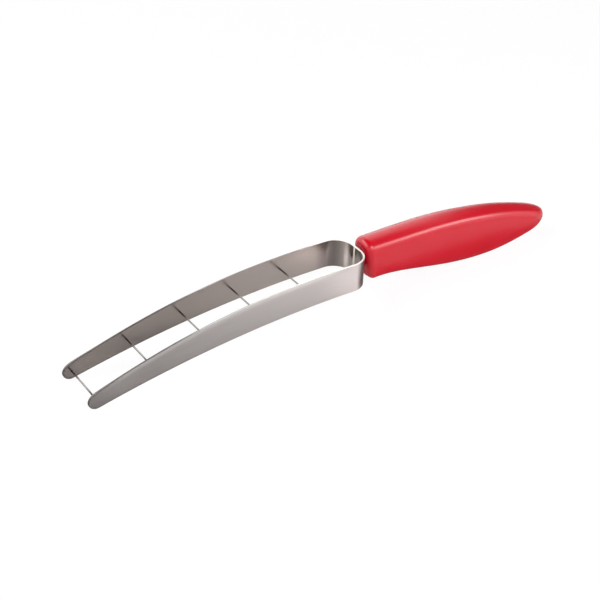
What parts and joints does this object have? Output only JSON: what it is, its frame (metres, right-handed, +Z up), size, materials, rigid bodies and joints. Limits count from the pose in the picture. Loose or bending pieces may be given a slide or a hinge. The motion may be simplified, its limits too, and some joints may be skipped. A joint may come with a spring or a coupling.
{
  "type": "watermelon slicer",
  "caption": "Long U-shaped steel cutting frame with thin wires across its open top and a leaf-shaped moulded handle behind its bow.",
  "frame": {"origin": "on the surface the slicer rests on, below the centre of its bounding box", "axes": "+X from the arm tips to the end of the handle, +Y across from the first arm to the second arm, +Z up as it rests on its tips and the end of its handle"},
  "size_m": [0.2776, 0.026, 0.0312],
  "materials": {
    "frame_steel": "fine satin",
    "wire_steel": "drawn",
    "tang_steel": "mill",
    "handle_plastic": "satin"
  },
  "bodies": {
    "root": {"cutting_frame": "frame_steel", "cross_wire_1": "wire_steel", "cross_wire_2": "wire_steel", "cross_wire_3": "wire_steel", "cross_wire_4": "wire_steel", "cross_wire_5": "wire_steel", "tang": "tang_steel", "handle": "handle_plastic"}
  },
  "joints": []
}
